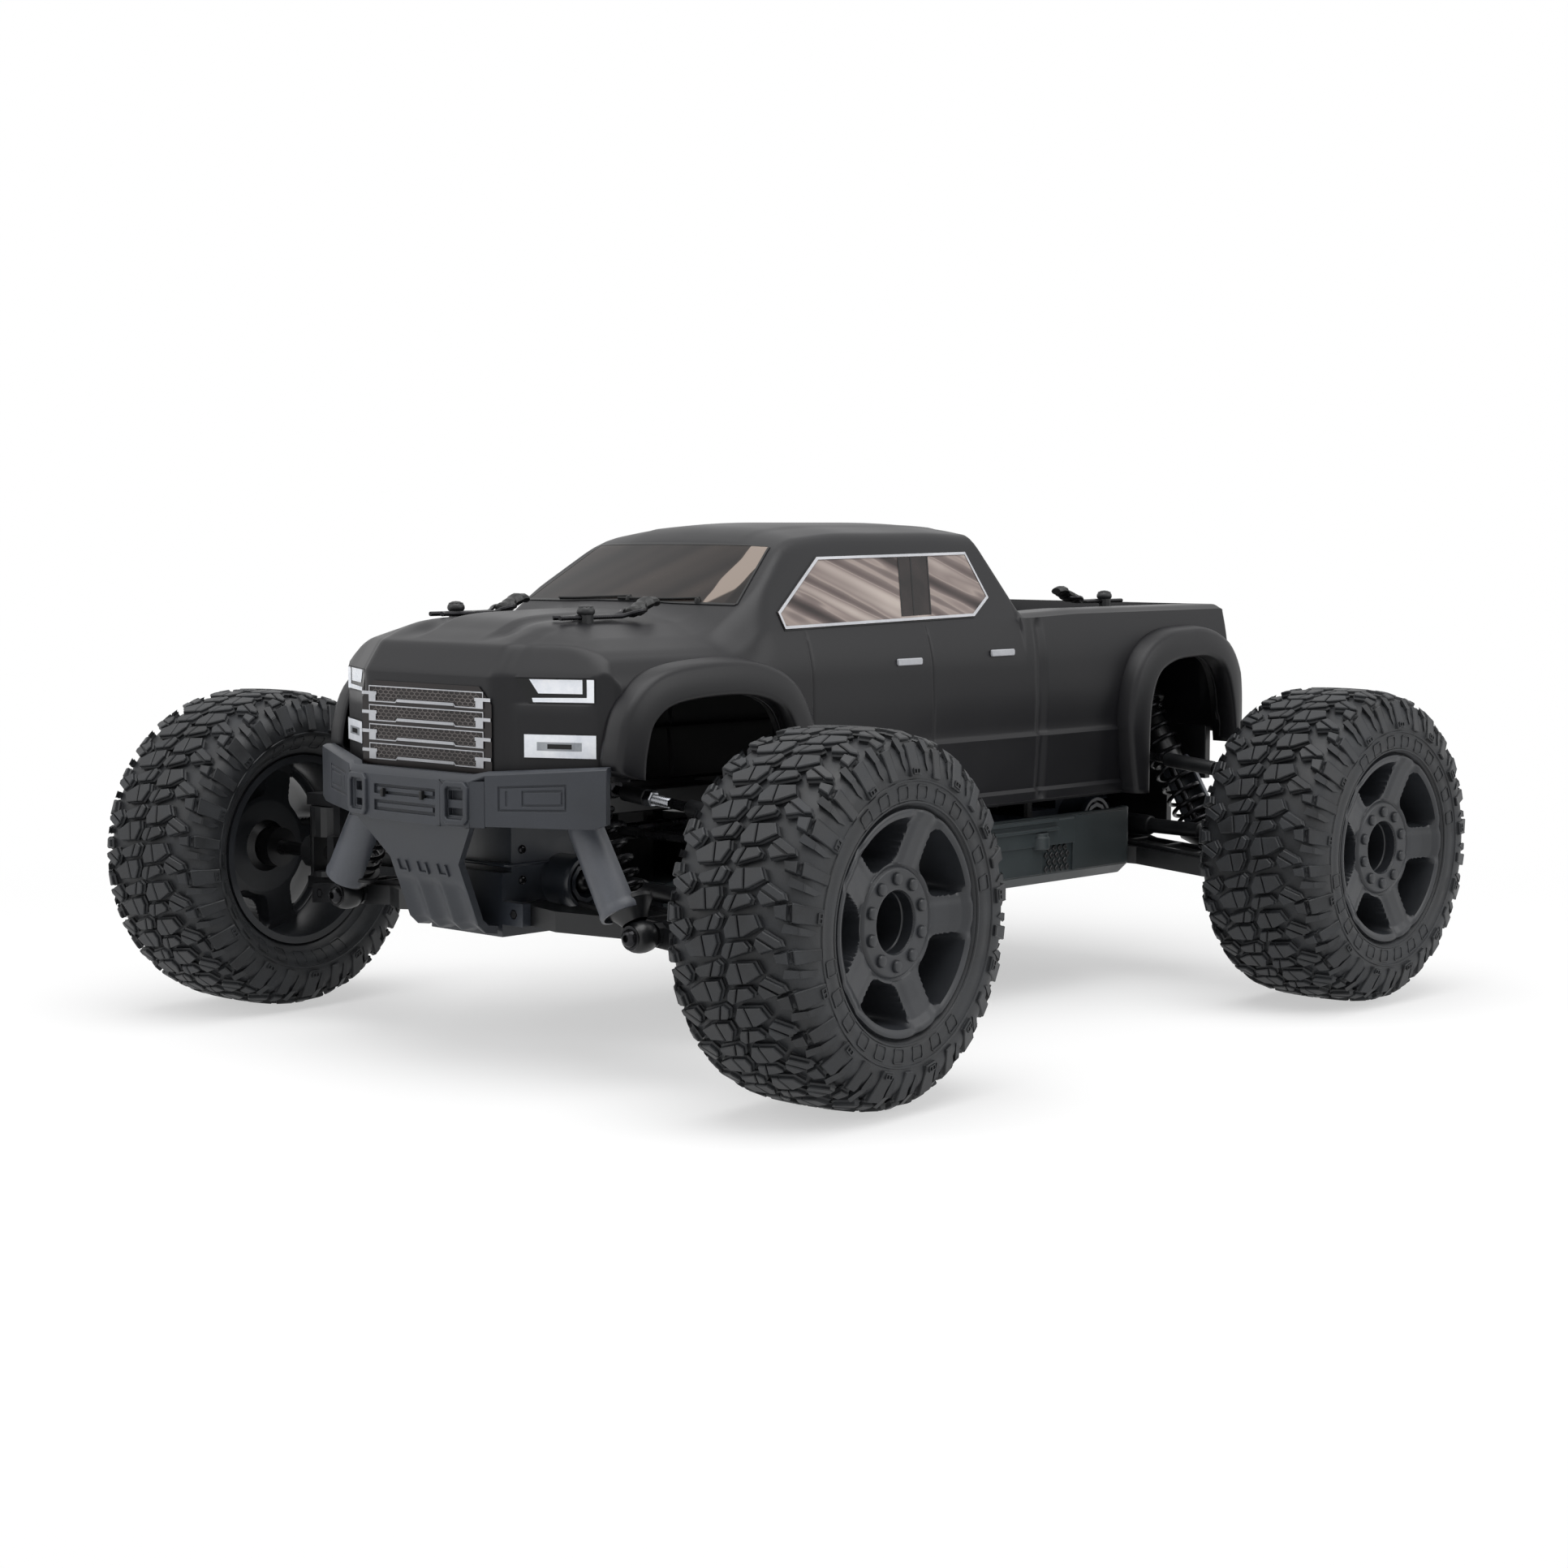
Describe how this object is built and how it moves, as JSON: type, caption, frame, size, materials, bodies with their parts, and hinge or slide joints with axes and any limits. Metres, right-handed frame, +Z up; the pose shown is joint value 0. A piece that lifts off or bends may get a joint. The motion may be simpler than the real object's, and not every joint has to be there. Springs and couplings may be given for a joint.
{
  "type": "rc monster truck",
  "caption": "Radio-controlled four-wheel-drive monster truck with a pick-up body shell, large lugged tyres, coil-over suspension and linked steering.",
  "frame": {"origin": "on the ground, midway between the axles and the wheels", "axes": "+X forward, +Y to the truck's left, +Z up"},
  "size_m": [0.4707, 0.4114, 0.211],
  "materials": {
    "shell_polycarbonate": "satin black polycarbonate",
    "chassis_nylon": "moulded dark grey nylon",
    "bumper_nylon": "moulded dark grey nylon",
    "arm_nylon": "moulded black nylon",
    "gearbox_nylon": "moulded dark grey nylon",
    "upright_nylon": "moulded black nylon",
    "wheel_nylon": "satin black nylon",
    "tyre_rubber": "matt rubber",
    "damper_aluminium": "black anodised",
    "spring_steel": "black oxide",
    "link_steel": "bright steel",
    "shaft_steel": "bright steel",
    "clip_wire": "black oxide wire",
    "motor_can": "dark anodised can",
    "battery_wrap": "shrink wrap",
    "controller_case": "moulded case",
    "servo_case": "moulded case",
    "gear_nylon": "moulded gear nylon",
    "pinion_steel": "hardened steel"
  },
  "bodies": {
    "chassis": {"chassis_tub": "chassis_nylon", "front_bumper": "bumper_nylon", "front_gearbox": "gearbox_nylon", "rear_gearbox": "gearbox_nylon", "front_shock_tower": "gearbox_nylon", "rear_shock_tower": "gearbox_nylon", "body_shell": "shell_polycarbonate", "motor": "motor_can", "battery": "battery_wrap", "speed_controller": "controller_case", "servo": "servo_case"},
    "drive_shaft": {"centre_driveshaft": "shaft_steel", "spur_gear": "gear_nylon"},
    "pinion": {"pinion_gear": "pinion_steel"},
    "drag_link": {"drag_link": "link_steel"},
    "servo_saver": {"servo_saver": "arm_nylon"},
    "arm_front_left": {"lower_arm_front_left": "arm_nylon"},
    "upright_front_left": {"caster_block_left": "upright_nylon"},
    "knuckle_left": {"steering_knuckle_left": "upright_nylon"},
    "wheel_front_left": {"wheel_front_left": "wheel_nylon", "tyre_front_left": "tyre_rubber"},
    "halfshaft_front_left": {"halfshaft_front_left": "shaft_steel"},
    "shock_body_front_left": {"shock_body_front_left": "damper_aluminium", "spring_front_left": "spring_steel"},
    "shock_shaft_front_left": {"shock_shaft_front_left": "arm_nylon"},
    "camber_link_front_left": {"camber_link_front_left": "link_steel"},
    "tie_rod_left": {"tie_rod_left": "link_steel"},
    "body_clip_front_left": {"body_clip_front_left": "clip_wire"},
    "arm_front_right": {"lower_arm_front_right": "arm_nylon"},
    "upright_front_right": {"caster_block_right": "upright_nylon"},
    "knuckle_right": {"steering_knuckle_right": "upright_nylon"},
    "wheel_front_right": {"wheel_front_right": "wheel_nylon", "tyre_front_right": "tyre_rubber"},
    "halfshaft_front_right": {"halfshaft_front_right": "shaft_steel"},
    "shock_body_front_right": {"shock_body_front_right": "damper_aluminium", "spring_front_right": "spring_steel"},
    "shock_shaft_front_right": {"shock_shaft_front_right": "arm_nylon"},
    "camber_link_front_right": {"camber_link_front_right": "link_steel"},
    "tie_rod_right": {"tie_rod_right": "link_steel"},
    "body_clip_front_right": {"body_clip_front_right": "clip_wire"},
    "arm_rear_left": {"lower_arm_rear_left": "arm_nylon"},
    "upright_rear_left": {"rear_hub_left": "upright_nylon"},
    "wheel_rear_left": {"wheel_rear_left": "wheel_nylon", "tyre_rear_left": "tyre_rubber"},
    "halfshaft_rear_left": {"halfshaft_rear_left": "shaft_steel"},
    "shock_body_rear_left": {"shock_body_rear_left": "damper_aluminium", "spring_rear_left": "spring_steel"},
    "shock_shaft_rear_left": {"shock_shaft_rear_left": "arm_nylon"},
    "camber_link_rear_left": {"camber_link_rear_left": "link_steel"},
    "body_clip_rear_left": {"body_clip_rear_left": "clip_wire"},
    "arm_rear_right": {"lower_arm_rear_right": "arm_nylon"},
    "upright_rear_right": {"rear_hub_right": "upright_nylon"},
    "wheel_rear_right": {"wheel_rear_right": "wheel_nylon", "tyre_rear_right": "tyre_rubber"},
    "halfshaft_rear_right": {"halfshaft_rear_right": "shaft_steel"},
    "shock_body_rear_right": {"shock_body_rear_right": "damper_aluminium", "spring_rear_right": "spring_steel"},
    "shock_shaft_rear_right": {"shock_shaft_rear_right": "arm_nylon"},
    "camber_link_rear_right": {"camber_link_rear_right": "link_steel"},
    "body_clip_rear_right": {"body_clip_rear_right": "clip_wire"}
  },
  "joints": [
    {"name": "suspension_front_left", "type": "hinge", "parent": "chassis", "child": "arm_front_left", "pos_m": [0.164, 0.028, 0.06], "axis": [1, 0, 0], "range_deg": [-14, 20], "stiffness_Nm_per_rad": 6, "springref_deg": -7.64},
    {"name": "upright_tilt_front_left", "type": "hinge", "parent": "arm_front_left", "child": "upright_front_left", "pos_m": [0.164, 0.1178, 0.0535], "axis": [1, 0, 0], "range_deg": [-22.31, 15.62]},
    {"name": "steering_left", "type": "hinge", "parent": "upright_front_left", "child": "knuckle_left", "pos_m": [0.164, 0.1258, 0.0693], "axis": [0, 0, 1], "range_deg": [-35, 25]},
    {"name": "wheel_spin_front_left", "type": "hinge", "parent": "knuckle_left", "child": "wheel_front_left", "pos_m": [0.15999, 0.17162, 0.0693], "axis": [-0.0872, 0.9962, 0], "continuous": true},
    {"name": "halfshaft_spin_front_left", "type": "hinge", "parent": "arm_front_left", "child": "halfshaft_front_left", "pos_m": [0.164, 0.0335, 0.0705], "axis": [0, 0.9999, -0.0152], "continuous": true},
    {"name": "shock_swing_front_left", "type": "hinge", "parent": "chassis", "child": "shock_body_front_left", "pos_m": [0.1845, 0.036, 0.1445], "axis": [1, 0, 0], "range_deg": [-4.82, 6.88]},
    {"name": "shock_stroke_front_left", "type": "slide", "parent": "shock_body_front_left", "child": "shock_shaft_front_left", "axis": [0, -0.5152, 0.8571], "range_m": [-0.01331, 0.01902], "deforming": ["spring_front_left"]},
    {"name": "camber_swing_front_left", "type": "hinge", "parent": "chassis", "child": "camber_link_front_left", "pos_m": [0.154, 0.04, 0.1068], "axis": [1, 0, 0], "range_deg": [-17.23, 24.62]},
    {"name": "tie_rod_swing_left", "type": "hinge", "parent": "drag_link", "child": "tie_rod_left", "pos_m": [0.142, 0.02988, 0.0888], "axis": [1, 0, 0], "range_deg": [-14.35, 20.5]},
    {"name": "body_clip_pull_front_left", "type": "slide", "parent": "chassis", "child": "body_clip_front_left", "axis": [-1, 0, 0], "range_m": [0, 0.0168]},
    {"name": "suspension_front_right", "type": "hinge", "parent": "chassis", "child": "arm_front_right", "pos_m": [0.164, -0.028, 0.06], "axis": [-1, 0, 0], "range_deg": [-14, 20], "stiffness_Nm_per_rad": 6, "springref_deg": -7.64},
    {"name": "upright_tilt_front_right", "type": "hinge", "parent": "arm_front_right", "child": "upright_front_right", "pos_m": [0.164, -0.1178, 0.0535], "axis": [-1, 0, 0], "range_deg": [-22.31, 15.62]},
    {"name": "steering_right", "type": "hinge", "parent": "upright_front_right", "child": "knuckle_right", "pos_m": [0.164, -0.1258, 0.0693], "axis": [0, 0, 1], "range_deg": [-35, 25]},
    {"name": "wheel_spin_front_right", "type": "hinge", "parent": "knuckle_right", "child": "wheel_front_right", "pos_m": [0.16801, -0.17162, 0.0693], "axis": [-0.0872, 0.9962, 0], "continuous": true},
    {"name": "halfshaft_spin_front_right", "type": "hinge", "parent": "arm_front_right", "child": "halfshaft_front_right", "pos_m": [0.164, -0.0335, 0.0705], "axis": [0, 0.9999, 0.0152], "continuous": true},
    {"name": "shock_swing_front_right", "type": "hinge", "parent": "chassis", "child": "shock_body_front_right", "pos_m": [0.1845, -0.036, 0.1445], "axis": [-1, 0, 0], "range_deg": [-4.82, 6.88]},
    {"name": "shock_stroke_front_right", "type": "slide", "parent": "shock_body_front_right", "child": "shock_shaft_front_right", "axis": [0, 0.5152, 0.8571], "range_m": [-0.01331, 0.01902], "deforming": ["spring_front_right"]},
    {"name": "camber_swing_front_right", "type": "hinge", "parent": "chassis", "child": "camber_link_front_right", "pos_m": [0.154, -0.04, 0.1068], "axis": [-1, 0, 0], "range_deg": [-17.23, 24.62]},
    {"name": "tie_rod_swing_right", "type": "hinge", "parent": "drag_link", "child": "tie_rod_right", "pos_m": [0.142, -0.03372, 0.0888], "axis": [-1, 0, 0], "range_deg": [-14.35, 20.5]},
    {"name": "body_clip_pull_front_right", "type": "slide", "parent": "chassis", "child": "body_clip_front_right", "axis": [-1, 0, 0], "range_m": [0, 0.0168]},
    {"name": "suspension_rear_left", "type": "hinge", "parent": "chassis", "child": "arm_rear_left", "pos_m": [-0.164, 0.028, 0.06], "axis": [1, 0, 0], "range_deg": [-14, 20], "stiffness_Nm_per_rad": 6, "springref_deg": -7.64},
    {"name": "upright_tilt_rear_left", "type": "hinge", "parent": "arm_rear_left", "child": "upright_rear_left", "pos_m": [-0.164, 0.1178, 0.0535], "axis": [1, 0, 0], "range_deg": [-22.31, 15.62]},
    {"name": "wheel_spin_rear_left", "type": "hinge", "parent": "upright_rear_left", "child": "wheel_rear_left", "pos_m": [-0.164, 0.1718, 0.0693], "axis": [0, 1, 0], "continuous": true},
    {"name": "halfshaft_spin_rear_left", "type": "hinge", "parent": "arm_rear_left", "child": "halfshaft_rear_left", "pos_m": [-0.164, 0.0335, 0.0705], "axis": [0, 0.9999, -0.0152], "continuous": true},
    {"name": "shock_swing_rear_left", "type": "hinge", "parent": "chassis", "child": "shock_body_rear_left", "pos_m": [-0.1845, 0.036, 0.1445], "axis": [1, 0, 0], "range_deg": [-4.82, 6.88]},
    {"name": "shock_stroke_rear_left", "type": "slide", "parent": "shock_body_rear_left", "child": "shock_shaft_rear_left", "axis": [0, -0.5152, 0.8571], "range_m": [-0.01331, 0.01902], "deforming": ["spring_rear_left"]},
    {"name": "camber_swing_rear_left", "type": "hinge", "parent": "chassis", "child": "camber_link_rear_left", "pos_m": [-0.154, 0.04, 0.1068], "axis": [1, 0, 0], "range_deg": [-17.23, 24.62]},
    {"name": "body_clip_pull_rear_left", "type": "slide", "parent": "chassis", "child": "body_clip_rear_left", "axis": [1, 0, 0], "range_m": [0, 0.0168]},
    {"name": "suspension_rear_right", "type": "hinge", "parent": "chassis", "child": "arm_rear_right", "pos_m": [-0.164, -0.028, 0.06], "axis": [-1, 0, 0], "range_deg": [-14, 20], "stiffness_Nm_per_rad": 6, "springref_deg": -7.64},
    {"name": "upright_tilt_rear_right", "type": "hinge", "parent": "arm_rear_right", "child": "upright_rear_right", "pos_m": [-0.164, -0.1178, 0.0535], "axis": [-1, 0, 0], "range_deg": [-22.31, 15.62]},
    {"name": "wheel_spin_rear_right", "type": "hinge", "parent": "upright_rear_right", "child": "wheel_rear_right", "pos_m": [-0.164, -0.1718, 0.0693], "axis": [0, 1, 0], "continuous": true},
    {"name": "halfshaft_spin_rear_right", "type": "hinge", "parent": "arm_rear_right", "child": "halfshaft_rear_right", "pos_m": [-0.164, -0.0335, 0.0705], "axis": [0, 0.9999, 0.0152], "continuous": true},
    {"name": "shock_swing_rear_right", "type": "hinge", "parent": "chassis", "child": "shock_body_rear_right", "pos_m": [-0.1845, -0.036, 0.1445], "axis": [-1, 0, 0], "range_deg": [-4.82, 6.88]},
    {"name": "shock_stroke_rear_right", "type": "slide", "parent": "shock_body_rear_right", "child": "shock_shaft_rear_right", "axis": [0, 0.5152, 0.8571], "range_m": [-0.01331, 0.01902], "deforming": ["spring_rear_right"]},
    {"name": "camber_swing_rear_right", "type": "hinge", "parent": "chassis", "child": "camber_link_rear_right", "pos_m": [-0.154, -0.04, 0.1068], "axis": [-1, 0, 0], "range_deg": [-17.23, 24.62]},
    {"name": "body_clip_pull_rear_right", "type": "slide", "parent": "chassis", "child": "body_clip_rear_right", "axis": [1, 0, 0], "range_m": [0, 0.0168]},
    {"name": "drag_link_slide", "type": "slide", "parent": "chassis", "child": "drag_link", "axis": [0, 1, 0], "range_m": [-0.01037, 0.01451]},
    {"name": "servo_saver_swing", "type": "hinge", "parent": "chassis", "child": "servo_saver", "pos_m": [0.118, -0.0185, 0.079], "axis": [0, 0, 1], "range_deg": [-24.75, 34.65]},
    {"name": "drive_shaft_spin", "type": "hinge", "parent": "chassis", "child": "drive_shaft", "pos_m": [-0.0615, 0, 0.0845], "axis": [1, 0, 0], "continuous": true},
    {"name": "pinion_spin", "type": "hinge", "parent": "chassis", "child": "pinion", "pos_m": [-0.0615, -0.03162, 0.072], "axis": [1, 0, 0], "continuous": true}
  ],
  "couplings": [
    {"joint": "upright_tilt_front_left", "follows": "suspension_front_left", "ratio": -1.0328},
    {"joint": "halfshaft_spin_front_left", "follows": "wheel_spin_front_left", "ratio": 1},
    {"joint": "shock_swing_front_left", "follows": "suspension_front_left", "ratio": 0.3187},
    {"joint": "shock_stroke_front_left", "follows": "suspension_front_left", "m_per_rad": 0.05189},
    {"joint": "camber_swing_front_left", "follows": "suspension_front_left", "ratio": 1.1397},
    {"joint": "tie_rod_swing_left", "follows": "suspension_front_left", "ratio": 0.94914},
    {"joint": "upright_tilt_front_right", "follows": "suspension_front_right", "ratio": -1.0328},
    {"joint": "halfshaft_spin_front_right", "follows": "wheel_spin_front_right", "ratio": 1},
    {"joint": "shock_swing_front_right", "follows": "suspension_front_right", "ratio": 0.3187},
    {"joint": "shock_stroke_front_right", "follows": "suspension_front_right", "m_per_rad": 0.05189},
    {"joint": "camber_swing_front_right", "follows": "suspension_front_right", "ratio": 1.1397},
    {"joint": "tie_rod_swing_right", "follows": "suspension_front_right", "ratio": 0.94914},
    {"joint": "upright_tilt_rear_left", "follows": "suspension_rear_left", "ratio": -1.0328},
    {"joint": "halfshaft_spin_rear_left", "follows": "wheel_spin_rear_left", "ratio": 1},
    {"joint": "shock_swing_rear_left", "follows": "suspension_rear_left", "ratio": 0.3187},
    {"joint": "shock_stroke_rear_left", "follows": "suspension_rear_left", "m_per_rad": 0.05189},
    {"joint": "camber_swing_rear_left", "follows": "suspension_rear_left", "ratio": 1.1397},
    {"joint": "upright_tilt_rear_right", "follows": "suspension_rear_right", "ratio": -1.0328},
    {"joint": "halfshaft_spin_rear_right", "follows": "wheel_spin_rear_right", "ratio": 1},
    {"joint": "shock_swing_rear_right", "follows": "suspension_rear_right", "ratio": 0.3187},
    {"joint": "shock_stroke_rear_right", "follows": "suspension_rear_right", "m_per_rad": 0.05189},
    {"joint": "camber_swing_rear_right", "follows": "suspension_rear_right", "ratio": 1.1397},
    {"joint": "steering_right", "follows": "steering_left", "ratio": 1},
    {"joint": "drag_link_slide", "follows": "steering_left", "m_per_rad": -0.022},
    {"joint": "servo_saver_swing", "follows": "steering_left", "ratio": -0.91667},
    {"joint": "pinion_spin", "follows": "drive_shaft_spin", "ratio": -3}
  ]
}
